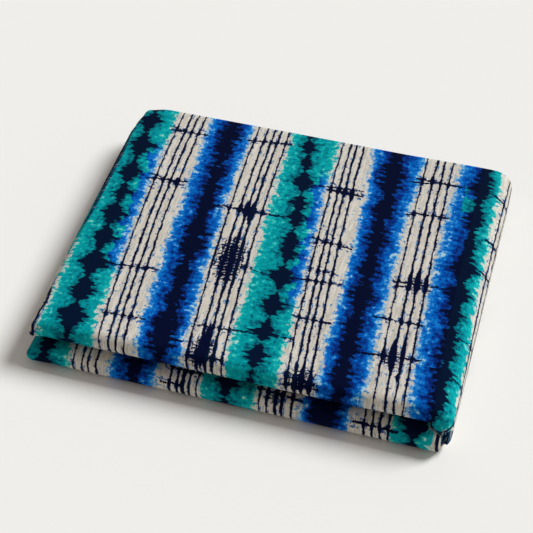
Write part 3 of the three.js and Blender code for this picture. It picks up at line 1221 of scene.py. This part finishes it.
THREAD_PITCH = 0.55
COTTON_ROUGHNESS = 0.95
COTTON_SPECULAR = 0.06
WEAVE_STRENGTH = 0.35
WEAVE_HEIGHT = 0.15


def weave_height(chart):
    """Plain weave with thicker threads here and there, as a height."""
    warp = (chart.across / THREAD_PITCH).zigzag(0.5)
    weft = (chart.along / THREAD_PITCH).zigzag(0.5)
    return warp + weft + chart.texture("slub") + chart.texture("cross slub")


def make_material(name, roughness, specular):
    """A new material and its shader."""
    material = bpy.data.materials.new(name)
    material.use_nodes = True
    shader = material.node_tree.nodes["Principled BSDF"]
    shader.inputs["Roughness"].default_value = roughness
    shader.inputs["Specular IOR Level"].default_value = specular
    return material, shader


def dyed_cotton():
    material, shader = make_material("dyed_cotton", COTTON_ROUGHNESS, COTTON_SPECULAR)
    tree = material.node_tree
    chart = Chart(tree)
    tree.links.new(print_colour(chart), shader.inputs["Base Color"])
    bump = tree.nodes.new("ShaderNodeBump")
    bump.inputs["Strength"].default_value = WEAVE_STRENGTH
    bump.inputs["Distance"].default_value = WEAVE_HEIGHT * METRE
    plug(tree, weave_height(chart), bump.inputs["Height"])
    tree.links.new(bump.outputs[0], shader.inputs["Normal"])
    return material


# ---- Floor, light and camera, in metres ----

FLOOR_HALF = 3.0
FLOOR_DROP = 0.0002
FLOOR_COLOUR = dye(241, 240, 237)
FLOOR_ROUGHNESS = 0.9
FLOOR_SPECULAR = 0.1

WORLD_COLOUR = (1.0, 0.925, 0.868, 1.0)
WORLD_STRENGTH = 0.31
SOFTBOX_ANGLE = 25
SOFTBOX_ENERGY = 3.36
SOFTBOX_COLOUR = (0.965, 0.985, 1.0)
SOFTBOX_FROM = Vector((1.0, 0.93, 1.2))
SOFTBOX_DISTANCE = 1.5

# The camera's angles are in degrees, its distance and target in widths of the stack, and its lens
# in millimetres.
CAMERA_AZIMUTH = 16.47
CAMERA_ELEVATION = 47.31
CAMERA_ROLL = 0.47
CAMERA_DISTANCE = 3.549
CAMERA_TARGET = Vector((-0.0478, 0.0306, 0))
CAMERA_LENS = 96.1
CAMERA_SENSOR = 36


def make_floor():
    mesh = bpy.data.meshes.new("floor")
    corners = [(x * FLOOR_HALF, y * FLOOR_HALF, 0) for x, y in ((-1, -1), (1, -1), (1, 1), (-1, 1))]
    mesh.from_pydata(corners, [], [(0, 1, 2, 3)])
    floor = add_object("floor", mesh)
    floor.location.z = -FLOOR_DROP
    material, shader = make_material("floor", FLOOR_ROUGHNESS, FLOOR_SPECULAR)
    shader.inputs["Base Color"].default_value = FLOOR_COLOUR
    mesh.materials.append(material)


def aim(thing, at):
    """Turns a lamp or camera to look at a point."""
    direction = at - thing.location
    thing.rotation_euler = direction.to_track_quat("-Z", "Y").to_euler()


def make_light():
    world = bpy.data.worlds.new("studio")
    world.use_nodes = True
    background = world.node_tree.nodes["Background"]
    background.inputs["Color"].default_value = WORLD_COLOUR
    background.inputs["Strength"].default_value = WORLD_STRENGTH
    bpy.context.scene.world = world
    lamp = bpy.data.lights.new("softbox", "SUN")
    lamp.angle = math.radians(SOFTBOX_ANGLE)
    lamp.energy = SOFTBOX_ENERGY
    lamp.color = SOFTBOX_COLOUR
    softbox = add_object("softbox", lamp)
    softbox.location = SOFTBOX_FROM.normalized() * SOFTBOX_DISTANCE
    bpy.context.view_layer.update()
    aim(softbox, Vector((0, 0, 0)))


def make_camera():
    width = high.x - low.x
    azimuth, elevation = math.radians(CAMERA_AZIMUTH), math.radians(CAMERA_ELEVATION)
    target = CAMERA_TARGET * width
    away = Vector((
        math.sin(azimuth) * math.cos(elevation),
        -math.cos(azimuth) * math.cos(elevation),
        math.sin(elevation),
    ))
    lens = bpy.data.cameras.new("camera")
    lens.lens = CAMERA_LENS
    lens.sensor_width = CAMERA_SENSOR
    camera = add_object("camera", lens)
    camera.location = target + away * CAMERA_DISTANCE * width
    aim(camera, target)
    camera.rotation_euler.rotate_axis("Z", -math.radians(CAMERA_ROLL))
    bpy.context.scene.camera = camera


# ---- The scene ----

make_camera()
make_light()
make_floor()

cloth = make_cloth()
cloth.data.materials.append(dyed_cotton())
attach(cloth, "root")
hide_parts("cloth")

bpy.context.scene.view_settings.view_transform = "Standard"
